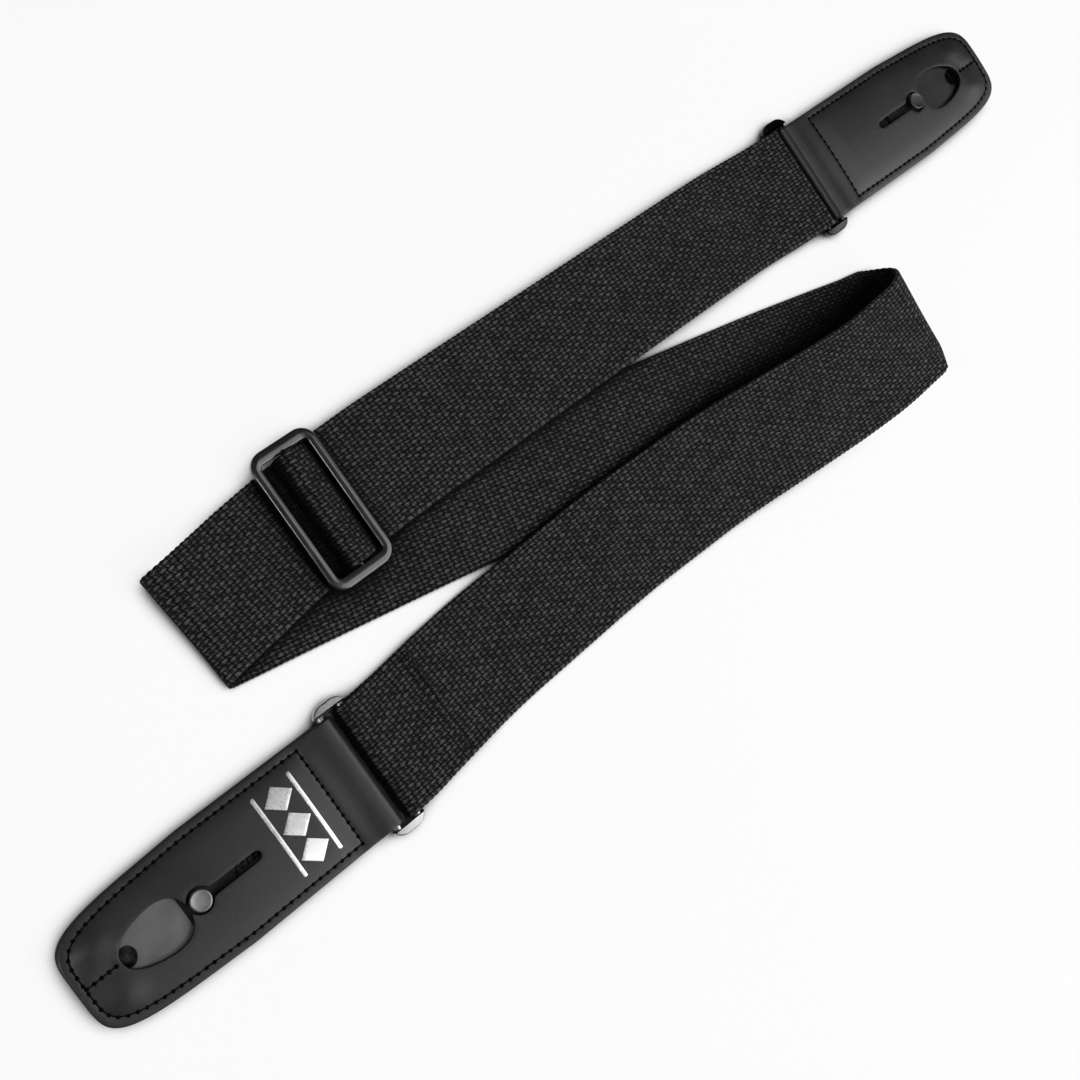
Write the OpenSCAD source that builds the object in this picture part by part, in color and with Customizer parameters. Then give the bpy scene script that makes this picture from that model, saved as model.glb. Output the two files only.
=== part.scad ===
// Locking guitar strap, laid out in an S on a table, millimetres.
// +X runs along the adjuster run towards end 2, +Z is up, the table is z = 0,
// and the origin is under the middle of the whole layout.
// End 1 is the leather end at -X, end 2 the one at +X; both are the same part.

/* [Webbing] */
// Width of the cotton webbing
web_w = 50.8; // [48:0.2:51.2]
// Thickness of the cotton webbing
web_t = 2; // [1.6:0.1:2]

/* [Ring] */
// Length of a ring over its two end plates
ring_l = 60; // [58:1:66]
// Width of a ring along the strap
ring_w = 17; // [16:0.5:20]
// Thickness of a ring's end plates
ring_t = 3.2; // [2.8:0.1:3.4]
// Radius of a ring's outer corners
ring_corner = 6; // [4:0.5:7]
// Radius of the two round bars of a ring
bar_r = 1.6; // [1.4:0.05:1.65]
// Distance between the two bars of a ring
bar_pitch = 9.5; // [9:0.25:10.5]

/* [Leather end] */
// Length from the ring's bar to the tip
end_l = 124.8; // [118:0.2:130]
// Half width at the ring
end_hw = 24.6; // [22:0.1:25]
// Half width near the tip
tip_hw = 21.8; // [18:0.1:24]
// Thickness of the leather
leather_t = 2; // [1.6:0.1:2.2]

/* [Lock] */
// Travel of the locking plate
lock_travel = 24; // [16:1:25]
// Radius of the thumb button's head
button_r = 4.15; // [3.5:0.05:4.6]
// Distance from the ring's bar to the thumb button
button_x = 73.8; // [72:0.2:75]
// Length of the egg-shaped opening
egg_l = 28.4; // [26:0.2:29]
// Widest half width of the egg-shaped opening
egg_hw = 9.2; // [8:0.1:10]
// Radius of the bite in the plate that holds a strap button's neck
bite_r = 3.9; // [3.8:0.1:4.2]

/* [Slide] */
// Length of the slide across the strap
slide_l = 62; // [60:1:66]
// Width of the slide along the strap
slide_w = 30; // [28:0.5:32]
// Height of the slide's frame
slide_h = 4; // [3:0.1:4.5]
// Position of the slide along the adjuster run
slide_x = -122; // [-124:1:-90]

/* [Stitching] */
// Distance between stitches
stitch_pitch = 3.4; // [3:0.1:5]
// Inset of the seam from the leather's edge
seam_inset = 3.2; // [2.6:0.1:4]

/* [Hidden] */

cotton = [0.05, 0.05, 0.05];
hide = [0.13, 0.13, 0.13];
steel = [0.35, 0.35, 0.36];
black_metal = [0.08, 0.08, 0.09];
thread = [0.02, 0.02, 0.02];

// Heights. A loop of web or leather fits round a bar with a little room.
bar_gap = 0.15;
loop_in = bar_r + bar_gap;             // inside radius of a loop round a bar
loop_mid = loop_in + web_t / 2;        // middle radius of the webbing there
bar_z = loop_in + 2;                   // height of both bars of a ring
ring_x = 164;                          // middle of a ring, left and right
end_y = 45;                            // centre line of the ends, front and back
web_bar_x = ring_x - bar_pitch / 2;    // bar that the webbing turns round
hinge_x = ring_x + bar_pitch / 2;      // bar that the leather turns round
ply = web_t + 0.1;                     // one layer of webbing and its gap

// ---------------------------------------------------------------- webbing
// A station is [x, y, z, heading, tilt, pitch], with the angles in degrees.
// Pitch 0 runs towards +X face up, and 180 runs towards -X face down.

// Layers, by the height of their middles
z_low = web_t / 2;
z_mid = z_low + ply;
z_top = z_mid + ply;

// Front run: from the anchor turn, over the middle run, up to the right bend
front_keys = [
    [-120, -41, z_mid, 3, 0, 0], [-108, -40, 1.6, 3, 0.5, 0],
    [-94, -39, 1.4, 3, 1, 0], [-70, -38, 2.1, 3, 2.5, 0],
    [-25, -36.3, 2.7, 1, 3, 0], [5, -36.6, 3.2, -2, 4, 0],
    [39, -37.5, 5, -3, 6, 0], [84, -41, 9.4, -4, 10, 0],
    [113, -43, 12.6, -2, 12.5, 0], [137, -43.5, 15.2, 1, 13.5, 0],
    [155, -42.5, 16, 3, 14, 0]];

// Middle run: the lowest layer, straight on the table
middle_keys = [
    [155, -28, z_low, -12, 0, -180], [120, -21.2, z_low, -10.5, 0, -180],
    [-20, 4.5, z_low, -10.3, 0, -180], [-138, 26, z_low, -10, 0, -180],
    [-176, 32.6, z_low, -7, 0, -180]];

// Adjuster run: from the left bend, under the slide, to ring 2
adjuster_keys = [
    [-176, 38, 7.6, 7.5, 6.5, -360], [-162, 40, 6.4, 7.5, 3, -360],
    [-148, 42, z_top, 7, 0, -360], [-122, 44.9, z_top, 5, 0, -360],
    [-96, 46.6, z_top, 2, 0, -360], [-60, 47, z_top, 0, 0, -360],
    [90, 47, z_top, 0, 0, -360], [122, 46.6, z_mid, 0, 0, -360],
    [140, 45.6, z_mid + 0.9, 0, 0, -360]];

// Return run: from ring 2 back under the adjuster run to the slide
return_keys = [
    [140, 45.6, z_low, 0, 0, -540], [122, 46.6, z_low, 0, 0, -540],
    [90, 47, z_mid, 0, 0, -540], [-60, 47, z_mid, 0, 0, -540],
    [-96, 46.6, z_mid, 2, 0, -540], [-119, 45.2, z_mid, 5, 0, -540]];

function last(v) = v[len(v) - 1];

function mix(a, b, u) = a + (b - a) * u;

// Catmull-Rom step between b and c
function glide(a, b, c, d, u) =
    0.5 * (2 * b + (c - a) * u + (2 * a - 5 * b + 4 * c - d) * u * u
           + (3 * b - a - 3 * c + d) * u * u * u);

function smooth(k, n) =
    [for (i = [0:len(k) - 2]) for (j = [0:n - 1])
        glide(k[max(i - 1, 0)], k[i], k[i + 1], k[min(i + 2, len(k) - 1)], j / n),
     last(k)];

// Right bend: an open, slightly conical roll from the front to the middle run
function right_bend() =
    [last(front_keys),
     for (f = [0:15:180])
        [163 + 8 * sin(f), mix(-42, -29.8, f / 180), mix(16, z_low, (1 - cos(f)) / 2),
         mix(3, -12.5, f / 180), 14 * (1 + cos(f)) / 2, -f],
     middle_keys[0]];

// Left bend: a tighter roll from the middle run up to the adjuster run
function left_bend() =
    [last(middle_keys),
     for (f = [0:15:180])
        [-182 - 8.4 * sin(f), mix(33.6, 37.2, f / 180), mix(z_low, 8, (1 - cos(f)) / 2),
         mix(-4, 7.5, f / 180), 7 * (1 - cos(f)) / 2, -180 - f],
     adjuster_keys[0]];

// Anchor turn: the lower ply, the turn round ring 1's bar and the upper ply
function anchor_path() =
    concat([[-118, -41, z_low, 3, 0, 180], [-140, -43.6, z_low, 3, 0, 180]],
           [for (f = [180:-15:0])
               [-web_bar_x - loop_mid * sin(f), -end_y, bar_z + loop_mid * cos(f),
                0, 0, f]],
           [[-149, -44.6, z_mid + 1.6, 2, 0, 0], [-140, -43.6, z_mid, 3, 0, 0],
            front_keys[0]]);

// Ring turn: from the adjuster run round ring 2's bar to the return run
function ring_turn_path() =
    [last(adjuster_keys),
     for (f = [0:15:180])
        [web_bar_x + loop_mid * sin(f), end_y, bar_z + loop_mid * cos(f), 0, 0, -360 - f],
     return_keys[0]];

// Corner points of the band's section at one station
function section(s) =
    let (e1 = [cos(s[3]), sin(s[3]), 0],
         e2 = [-sin(s[3]), cos(s[3]), 0],
         n = [0, 0, cos(s[5])] - e1 * sin(s[5]),
         w = e2 * cos(s[4]) + n * sin(s[4]),
         m = n * cos(s[4]) - e2 * sin(s[4]),
         p = [s[0], s[1], s[2]])
    [p - w * web_w / 2 - m * web_t / 2, p + w * web_w / 2 - m * web_t / 2,
     p + w * web_w / 2 + m * web_t / 2, p - w * web_w / 2 + m * web_t / 2];

// Two triangles between sections i and i + 1, each of n points, at side j
function wall(n, i, j) =
    let (a = n * i + j, b = n * i + (j + 1) % n, c = b + n, d = a + n)
    [[a, b, c], [a, c, d]];

// Band of webbing along a path of stations
module band(path) {
    n = len(path);
    points = [for (s = path) each section(s)];
    sides = [for (i = [0:n - 2]) for (j = [0:3]) each wall(4, i, j)];
    caps = [[3, 2, 1, 0], [for (j = [0:3]) 4 * (n - 1) + j]];
    color(cotton)
    polyhedron(points = points, faces = concat(sides, caps), convexity = 8);
}

module webbing_anchor_turn() { band(anchor_path()); }
module webbing_front_run() { band(smooth(front_keys, 4)); }
module webbing_right_bend() { band(right_bend()); }
module webbing_middle_run() { band(smooth(middle_keys, 3)); }
module webbing_left_bend() { band(left_bend()); }
module webbing_adjuster_run() { band(smooth(adjuster_keys, 3)); }
module webbing_ring_turn() { band(ring_turn_path()); }
module webbing_return_run() { band(smooth(return_keys, 3)); }

// Row of stitches across the strap that closes the anchor turn
module anchor_stitches() {
    rows = [-126, -129];
    color(thread)
    for (x = rows)
        for (k = [-6:6])
            translate([x, -42 + 3.6 * k, z_mid + web_t / 2])
            rotate([0, 0, 93])
            translate([-1.1, -0.4, 0])
            cube([2.2, 0.8, 0.3]);
}

// ------------------------------------------------------------------ slide
frame_z = z_top + web_t / 2 + 0.35;    // underside of the slide's frame
crossbar_r = 1.2;
loop_t = 1.4;                          // the sewn loop's webbing, pressed flat
crossbar_z = frame_z + 2.75;
crossbar_in = crossbar_r + 0.05;
crossbar_out = crossbar_in + loop_t;
bight_t = 1.8;
window_l = web_w + 1.2;
window_w = slide_w - 8;

module rounded_plate(l, w, r, h) {
    linear_extrude(h)
    union() {
        square([l - 2 * r, w], center = true);
        square([l, w - 2 * r], center = true);
        for (sx = [-1, 1])
            for (sy = [-1, 1])
                translate([sx * (l / 2 - r), sy * (w / 2 - r)])
                circle(r, $fn = 48);
    }
}

module at_slide(z) {
    translate([slide_x, end_y, z])
    children();
}

module slide_frame() {
    color(black_metal)
    at_slide(frame_z)
    union() {
        difference() {
            rounded_plate(slide_w, slide_l, 7, slide_h);
            translate([0, 0, -1])
            rounded_plate(window_w, window_l, 1.2, slide_h + 2);
        }
        translate([0, 0, crossbar_z - frame_z])
        rotate([90, 0, 0])
        cylinder(r = crossbar_r, h = window_l + 2, center = true, $fn = 32);
    }
}

// Outline of the bight: over the sewn loop and down to both outer bars
bight_in = crossbar_out + 0.1;
foot_x = window_w / 2 - 0.4;
foot_z = z_top + web_t / 2 + 0.35 - crossbar_z;
lean = 52;                             // where the round top meets the flanks

function bight_line(r, drop) =
    concat([[-foot_x + drop, foot_z]],
           [for (f = [180 - (90 - lean):-8:90 - lean]) [r * cos(f), r * sin(f)]],
           [[foot_x - drop, foot_z]]);

module slide_bight() {
    outer = bight_line(bight_in + bight_t, 0);
    inner = bight_line(bight_in, bight_t * 1.3);
    reversed = [for (i = [len(inner) - 1:-1:0]) inner[i]];
    color(cotton)
    at_slide(crossbar_z)
    rotate([90, 0, 0])
    linear_extrude(web_w, center = true)
    polygon(concat(outer, reversed));
}

module slide_sewn_loop() {
    tail_x = 5.8;
    color(cotton)
    at_slide(crossbar_z)
    rotate([90, 0, 0])
    linear_extrude(web_w - 0.4, center = true)
    difference() {
        union() {
            circle(crossbar_out, $fn = 48);
            translate([0, -crossbar_out])
            square([tail_x, loop_t]);
        }
        circle(crossbar_in, $fn = 48);
    }
}

// Bar tack through the sewn loop's tail
module slide_loop_stitches() {
    color(thread)
    at_slide(crossbar_z - crossbar_out + loop_t)
    for (k = [-6:6])
        translate([4.6, 3.6 * k - 1.1, 0])
        cube([0.6, 2.2, 0.25]);
}

// -------------------------------------------------------- the leather ends
// Drawn with the hinge bar at the origin and the tip towards +X.
taper_x = 66;                          // where the sides start to come in
tip_power = 5;                         // squareness of the rounded tip
inner_z = loop_in;                     // half the space between the leathers

// End 2 as drawn, end 1 turned half round
module place_end(n) {
    turn = n == 1 ? 180 : 0;
    rotate([0, 0, turn])
    translate([hinge_x, end_y, bar_z])
    children();
}

// One side of the outline, from the ring to the tip, moved in by an inset
function side_points(inset, x_start) =
    let (l = end_l - taper_x - inset)
    concat([[x_start, end_hw - inset], [taper_x, end_hw + 0.2 - inset]],
           [for (f = [85:-5:0])
               let (u = pow(cos(f), 2 / tip_power), v = pow(sin(f), 2 / tip_power))
               [taper_x + l * u, (mix(end_hw + 0.2, tip_hw, u) - inset) * v]]);

function mirrored(p) = [for (i = [len(p) - 2:-1:0]) [p[i][0], -p[i][1]]];

function outline(inset, x_start) =
    let (p = side_points(inset, x_start)) concat(p, mirrored(p));

// Egg-shaped opening, blunt at the tip and widest near the thumb button
egg_x = button_x + 5 + egg_l / 2;

function egg(grow) =
    [for (f = [0:10:350])
        let (c = cos(f), s = sin(f),
             u = sign(c) * pow(abs(c), 0.86), v = sign(s) * pow(abs(s), 0.86))
        [egg_x + (egg_l / 2 + grow) * u, (egg_hw * (1 - 0.22 * u) + grow) * v]];

module leather_panel(x_start) {
    polygon(outline(0, x_start));
}

module leather(n) {
    slot_r = 1.85;
    slot_end = button_x - lock_travel - 1.2;
    color(hide)
    place_end(n)
    union() {
        // front panel with the opening, the button's pocket and the slot
        translate([0, 0, inner_z])
        linear_extrude(leather_t)
        difference() {
            leather_panel(0);
            polygon(egg(0));
            translate([button_x, 0])
            circle(5.1, $fn = 48);
            translate([slot_end, -slot_r])
            square([button_x - slot_end, 2 * slot_r]);
            translate([slot_end, 0])
            circle(slot_r, $fn = 24);
        }
        // back panel with the opening only
        translate([0, 0, -inner_z - leather_t])
        linear_extrude(leather_t)
        difference() {
            leather_panel(0);
            polygon(egg(0));
        }
        // roll round the ring's bar
        rotate([90, 0, 0])
        linear_extrude(2 * end_hw, center = true)
        difference() {
            circle(inner_z + leather_t, $fn = 64);
            circle(inner_z, $fn = 64);
            translate([0, -10])
            square(20);
        }
    }
}

// Lock plate: a wide plate with a bite at the tip and a narrow tail
plate_t = 2.4;
plate_tip = egg_x + egg_l / 2 + 3;
plate_back = 58;
plate_hw = 11.4;
bite_x = egg_x + egg_l / 2 - 2.5;
channel_x = 17;                        // ring side end of the channel
channel_hw = plate_hw + 0.5;

module lock_plate(n) {
    color(steel)
    place_end(n)
    translate([0, 0, -plate_t / 2])
    difference() {
        linear_extrude(plate_t)
        difference() {
            translate([plate_back, -plate_hw])
            square([plate_tip - plate_back, 2 * plate_hw]);
            translate([bite_x, 0])
            circle(bite_r, $fn = 48);
            translate([bite_x, -bite_r])
            square([plate_tip, 2 * bite_r]);
        }
        translate([button_x, 0, -1])
        cylinder(r = 1.55, h = plate_t + 2, $fn = 32);
    }
}

// Thumb button: a rivet with a flat head outside and a small one inside
module thumb_button(n) {
    head_z = inner_z + leather_t + 0.25;
    color(steel)
    place_end(n)
    translate([button_x, 0, 0]) {
        translate([0, 0, -plate_t / 2 - 0.3])
        cylinder(r = 2.4, h = 0.3, $fn = 32);
        translate([0, 0, -plate_t / 2])
        cylinder(r = 1.5, h = head_z + plate_t / 2, $fn = 32);
        translate([0, 0, head_z])
        cylinder(r = button_r, h = 1.1, $fn = 48);
        translate([0, 0, head_z + 1.1])
        cylinder(r1 = button_r, r2 = button_r - 0.5, h = 0.4, $fn = 48);
    }
}

// Stiff inner layer that keeps the leathers apart and guides the plate
module spacer(n) {
    color(hide)
    place_end(n)
    translate([0, 0, -inner_z])
    linear_extrude(2 * inner_z)
    difference() {
        intersection() {
            polygon(outline(0.3, 8));
            translate([8, -40])
            square([200, 80]);
        }
        translate([channel_x, -channel_hw])
        square([plate_tip + 0.4 - channel_x, 2 * channel_hw]);
    }
}

// Compression spring behind the plate
spring_r = 1.15;
wire_r = 0.25;
spring_turns = 16;

function coil_point(u, a) =
    let (t = 360 * spring_turns * u, r = spring_r + wire_r * cos(a))
    [channel_x + 0.3 + wire_r + u * (plate_back - channel_x - 0.6 - 2 * wire_r)
        + wire_r * sin(a), r * cos(t), r * sin(t)];

module return_spring(n) {
    steps = spring_turns * 10;
    sides = 6;
    points = [for (i = [0:steps]) for (j = [0:sides - 1])
        coil_point(i / steps, 360 * j / sides)];
    walls = [for (i = [0:steps - 1]) for (j = [0:sides - 1]) each wall(sides, i, j)];
    caps = [[for (j = [sides - 1:-1:0]) j], [for (j = [0:sides - 1]) sides * steps + j]];
    color(steel)
    place_end(n)
    polyhedron(points = points, faces = concat(walls, caps), convexity = 10);
}

// Seam: around the edge, across at the ring side, and up the middle of the tip
seam_x = 14.6;

module stitch(p, angle) {
    translate([p[0], p[1], inner_z + leather_t])
    rotate([0, 0, angle])
    translate([-1.1, -0.35, 0])
    cube([2.2, 0.7, 0.3]);
}

function lengths(p, i) = i == 0 ? 0 : norm(p[i] - p[i - 1]) + lengths(p, i - 1);

// Point and direction at a distance along a line of points
function along(p, d, i = 1) =
    let (step = norm(p[i] - p[i - 1]))
    d <= step || i == len(p) - 1
        ? let (v = (p[i] - p[i - 1]) / step) [p[i - 1] + v * d, atan2(v[1], v[0])]
        : along(p, d - step, i + 1);

module stitching(n) {
    seam = outline(seam_inset, seam_x);
    total = lengths(seam, len(seam) - 1);
    count = floor(total / stitch_pitch);
    half = end_hw - seam_inset;
    across = floor(2 * half / stitch_pitch);
    tip_start = egg_x + egg_l / 2 + 2;
    tip_count = floor((end_l - seam_inset - 1 - tip_start) / stitch_pitch);
    color(thread)
    place_end(n)
    union() {
        for (i = [0:count - 1]) {
            a = along(seam, (i + 0.5) * total / count);
            stitch(a[0], a[1]);
        }
        for (i = [1:across - 1])
            stitch([seam_x, -half + i * 2 * half / across], 90);
        for (i = [0:tip_count - 1])
            stitch([tip_start + (i + 0.5) * stitch_pitch, 0], 0);
    }
}

// Ring: two D-shaped end plates joined by two round bars
module ring(n) {
    inside_l = web_w + 1;
    plate_w = (ring_l - inside_l) / 2;
    s = n == 1 ? -1 : 1;
    color(black_metal)
    translate([s * ring_x, s * end_y, bar_z])
    union() {
        for (sy = [-1, 1])
            translate([0, 0, -ring_t / 2])
            intersection() {
                rounded_plate(ring_w, ring_l, ring_corner, ring_t);
                translate([-ring_w / 2, sy * (inside_l + plate_w) / 2 - plate_w / 2, 0])
                cube([ring_w, plate_w, ring_t]);
            }
        for (sx = [-1, 1])
            translate([sx * bar_pitch / 2, 0, 0])
            rotate([90, 0, 0])
            cylinder(r = bar_r, h = inside_l + 2, center = true, $fn = 48);
    }
}

webbing_anchor_turn();
webbing_front_run();
webbing_right_bend();
webbing_middle_run();
webbing_left_bend();
webbing_adjuster_run();
webbing_ring_turn();
webbing_return_run();
anchor_stitches();
slide_frame();
slide_bight();
slide_sewn_loop();
slide_loop_stitches();
ring(1);  // ring_1
leather(1);  // end_1_leather
spacer(1);  // end_1_spacer
lock_plate(1);  // end_1_lock_plate
thumb_button(1);  // end_1_thumb_button
return_spring(1);  // end_1_return_spring
stitching(1);  // end_1_stitching
ring(2);  // ring_2
leather(2);  // end_2_leather
spacer(2);  // end_2_spacer
lock_plate(2);  // end_2_lock_plate
thumb_button(2);  // end_2_thumb_button
return_spring(2);  // end_2_return_spring
stitching(2);  // end_2_stitching
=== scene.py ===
"""Looks of the locking guitar strap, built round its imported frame.

Lengths are millimetres up to the last step of each piece, where MM turns them into the
metres of the frame. +X runs along the adjuster run towards end 2, and +Z is up.
"""
import math

import bpy
import numpy as np
from mathutils import Matrix, Vector, geometry


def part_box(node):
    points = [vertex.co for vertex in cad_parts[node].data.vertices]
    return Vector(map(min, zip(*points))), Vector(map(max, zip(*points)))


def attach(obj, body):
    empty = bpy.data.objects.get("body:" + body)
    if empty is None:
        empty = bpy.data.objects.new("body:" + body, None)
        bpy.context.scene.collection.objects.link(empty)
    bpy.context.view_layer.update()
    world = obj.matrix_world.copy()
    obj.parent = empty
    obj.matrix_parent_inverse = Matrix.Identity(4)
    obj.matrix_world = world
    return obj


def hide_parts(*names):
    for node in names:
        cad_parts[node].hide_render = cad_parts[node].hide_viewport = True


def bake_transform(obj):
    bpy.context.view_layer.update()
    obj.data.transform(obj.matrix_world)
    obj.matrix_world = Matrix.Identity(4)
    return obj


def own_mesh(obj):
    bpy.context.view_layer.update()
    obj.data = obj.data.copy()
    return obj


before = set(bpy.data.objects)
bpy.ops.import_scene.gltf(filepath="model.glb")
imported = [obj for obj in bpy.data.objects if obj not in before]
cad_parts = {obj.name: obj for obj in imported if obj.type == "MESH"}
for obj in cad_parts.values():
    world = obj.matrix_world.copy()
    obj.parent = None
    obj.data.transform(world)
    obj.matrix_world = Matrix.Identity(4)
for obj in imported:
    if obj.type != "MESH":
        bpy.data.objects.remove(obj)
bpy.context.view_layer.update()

MM = 0.001


# ------------------------------------------------------------------ camera
CAMERA_AT = Vector((-0.3051, 0.0416, 0.5609))
CAMERA_DOWN = math.radians(65.0)       # below the horizon
CAMERA_HEADING = math.radians(-12.72)  # from +X
CAMERA_ROLL = math.radians(-66.96)
CAMERA_LENS = 50.18
CAMERA_SENSOR = 36.0


def add_camera():
    flat = Vector((math.cos(CAMERA_HEADING), math.sin(CAMERA_HEADING), 0))
    forward = flat * math.cos(CAMERA_DOWN) - Vector((0, 0, math.sin(CAMERA_DOWN)))
    level = forward.cross(Vector((0, 0, 1))).normalized()
    upright = level.cross(forward)
    right = level * math.cos(CAMERA_ROLL) - upright * math.sin(CAMERA_ROLL)
    up = level * math.sin(CAMERA_ROLL) + upright * math.cos(CAMERA_ROLL)
    data = bpy.data.cameras.new("camera")
    data.lens = CAMERA_LENS
    data.sensor_width = CAMERA_SENSOR
    data.clip_start = 0.01
    camera = bpy.data.objects.new("camera", data)
    turn = Matrix((right, up, -forward)).transposed().to_4x4()
    camera.matrix_world = Matrix.Translation(CAMERA_AT) @ turn
    bpy.context.scene.collection.objects.link(camera)
    bpy.context.scene.camera = camera


add_camera()


# ------------------------------------------------------- the frame's sizes
def middle(node):
    low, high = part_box(node)
    return (low + high) / 2 / MM


def size(node):
    low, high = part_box(node)
    return (high - low) / MM


RING = middle("ring_2")                # the other ring is half a turn away
SLIDE = middle("slide_frame")
WEB_W = size("slide_bight").y          # width of the webbing
WEB_T = 2.0                            # thickness of the webbing
PLY = 2.1                              # a layer of webbing and its gap
BAR_R = 1.6                            # round bars of a ring
BAR_PITCH = 9.5
LOOP_IN = BAR_R + 0.15                 # inside of a loop round a bar
LOOP_MID = LOOP_IN + WEB_T / 2
WEB_BAR_X = RING.x - BAR_PITCH / 2
HINGE_X = RING.x + BAR_PITCH / 2
Z_LOW = WEB_T / 2
Z_MID = Z_LOW + PLY
Z_TOP = Z_MID + PLY


# ----------------------------------------------------------- small helpers
def mix(a, b, u):
    return a + (b - a) * u


def smooth_step(x, start, end):
    u = np.clip((np.asarray(x, float) - start) / (end - start), 0, 1)
    return u * u * (3 - 2 * u)


def sin_d(angle):
    return math.sin(math.radians(angle))


def cos_d(angle):
    return math.cos(math.radians(angle))


def add_mesh(name, points, faces, material):
    """A mesh object from points in millimetres."""
    mesh = bpy.data.meshes.new(name)
    mesh.from_pydata((np.asarray(points, float) * MM).tolist(), [], [list(f) for f in faces])
    mesh.validate()
    mesh.polygons.foreach_set("use_smooth", [True] * len(mesh.polygons))
    mesh.materials.append(material)
    mesh.update()
    piece = bpy.data.objects.new(name, mesh)
    bpy.context.scene.collection.objects.link(piece)
    return piece


def joined(parts):
    """One list of points and one of faces from several of each."""
    points, faces, start = [], [], 0
    for part_points, part_faces in parts:
        points.extend([tuple(p) for p in part_points])
        faces.extend([[i + start for i in face] for face in part_faces])
        start += len(part_points)
    return points, faces


def skin(rings, loop=False):
    """Faces between rings of equal numbers of points: capped, or closed into a loop."""
    count, n = len(rings), len(rings[0])
    points = np.asarray(rings, float).reshape(-1, 3)
    faces = []
    for i in range(count if loop else count - 1):
        a, b = i * n, (i + 1) % count * n
        for j in range(n):
            k = (j + 1) % n
            faces.append((a + j, a + k, b + k, b + j))
    if not loop:
        faces.append(tuple(range(n - 1, -1, -1)))
        faces.append(tuple(range((count - 1) * n, count * n)))
    return points, faces


def round_bar(x, z, radius, ys):
    return skin([[(x + radius * cos_d(f), y, z + radius * sin_d(f)) for f in range(0, 360, 15)]
                 for y in ys])


def paint(piece, chosen, material):
    """Gives the chosen faces a second material."""
    piece.data.materials.append(material)
    piece.data.polygons.foreach_set("material_index", [int(c) for c in chosen])


def finish_piece(piece, body, slot, *nodes):
    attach(piece, body)
    if nodes:
        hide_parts(*nodes)
    return piece


# ---------------------------------------------------------------- materials
class Nodes:
    """Short names for making a material's nodes."""

    def __init__(self, name):
        self.material = bpy.data.materials.new(name)
        self.material.use_nodes = True
        self.tree = self.material.node_tree
        self.shader = self.tree.nodes["Principled BSDF"]

    def put(self, socket, value):
        if isinstance(value, bpy.types.NodeSocket):
            self.tree.links.new(value, socket)
        elif value is not None:
            socket.default_value = value

    def new(self, kind, *values, out=0, **settings):
        node = self.tree.nodes.new("ShaderNode" + kind)
        for key, value in settings.items():
            setattr(node, key, value)
        for socket, value in zip(node.inputs, values):
            self.put(socket, value)
        return node.outputs[out]

    def math(self, operation, a, b=None, c=None):
        return self.new("Math", a, b, c, operation=operation)

    def vector(self, operation, a, b=None):
        return self.new("VectorMath", a, b, operation=operation)

    def noise(self, where, scale, detail=2.0, roughness=0.5, out=0):
        node = self.tree.nodes.new("ShaderNodeTexNoise")
        self.put(node.inputs["Vector"], where)
        node.inputs["Scale"].default_value = scale
        node.inputs["Detail"].default_value = detail
        node.inputs["Roughness"].default_value = roughness
        return node.outputs[out]

    def openness(self, reach, low, high):
        """0 deep in a gap, 1 in the open, by the room within reach of the surface."""
        node = self.tree.nodes.new("ShaderNodeAmbientOcclusion")
        node.inputs["Distance"].default_value = reach
        node.samples = 8
        return self.spread(node.outputs["AO"], low, high, 0.0, 1.0)

    def spread(self, value, low, high, to_low, to_high):
        node = self.tree.nodes.new("ShaderNodeMapRange")
        node.clamp = True
        for key, given in zip(("Value", "From Min", "From Max", "To Min", "To Max"),
                              (value, low, high, to_low, to_high)):
            self.put(node.inputs[key], given)
        return node.outputs["Result"]

    def colours(self, factor, *stops):
        node = self.tree.nodes.new("ShaderNodeValToRGB")
        ramp = node.color_ramp
        while len(ramp.elements) < len(stops):
            ramp.elements.new(1.0)
        for element, (place, grey) in zip(ramp.elements, stops):
            element.position = place
            tint = grey if isinstance(grey, tuple) else (grey, grey, grey)
            element.color = (*tint, 1)
        self.put(node.inputs["Fac"], factor)
        return node.outputs["Color"]

    def bump(self, height, strength, distance, below=None):
        node = self.tree.nodes.new("ShaderNodeBump")
        node.inputs["Strength"].default_value = strength
        node.inputs["Distance"].default_value = distance
        self.put(node.inputs["Height"], height)
        self.put(node.inputs["Normal"], below)
        return node.outputs["Normal"]

    def set(self, **sockets):
        for key, value in sockets.items():
            self.put(self.shader.inputs[key.replace("_", " ")], value)


WEAVE_ALONG = 2.61                     # one cell of the weave along the strap
WEAVE_ACROSS = 1.665


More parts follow.
